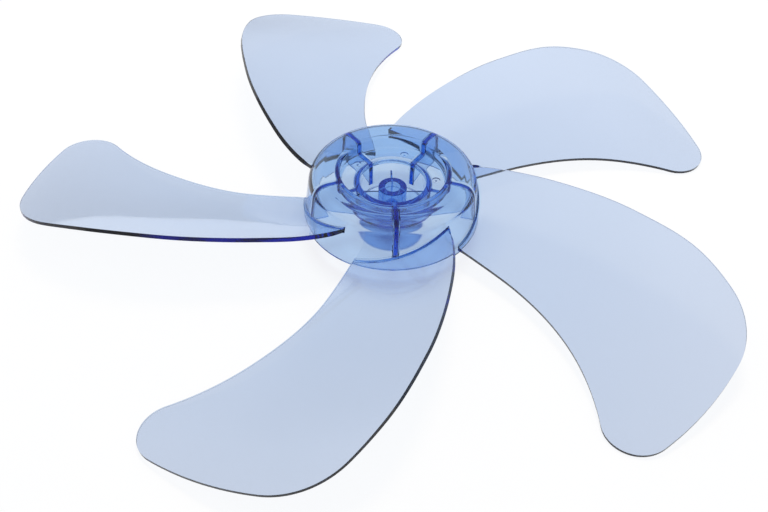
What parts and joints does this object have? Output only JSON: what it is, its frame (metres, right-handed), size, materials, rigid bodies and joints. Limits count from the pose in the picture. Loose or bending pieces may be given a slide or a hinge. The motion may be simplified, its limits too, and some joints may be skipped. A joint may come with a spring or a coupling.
{
  "type": "axial fan impeller",
  "caption": "Translucent moulded axial fan impeller: swept, twisted blades on a stepped hub with a spinner recess and a shaft bore.",
  "frame": {"origin": "centre of the shaft bore in the plane of the hub's rear rim", "axes": "+Z along the shaft axis, towards the front of the fan where the spinner nut goes"},
  "size_m": [0.3737, 0.3822, 0.0361],
  "materials": {
    "impeller": "clear blue styrene plastic, glossy, with darker cut edges"
  },
  "bodies": {
    "root": {"impeller": "impeller"}
  },
  "joints": []
}
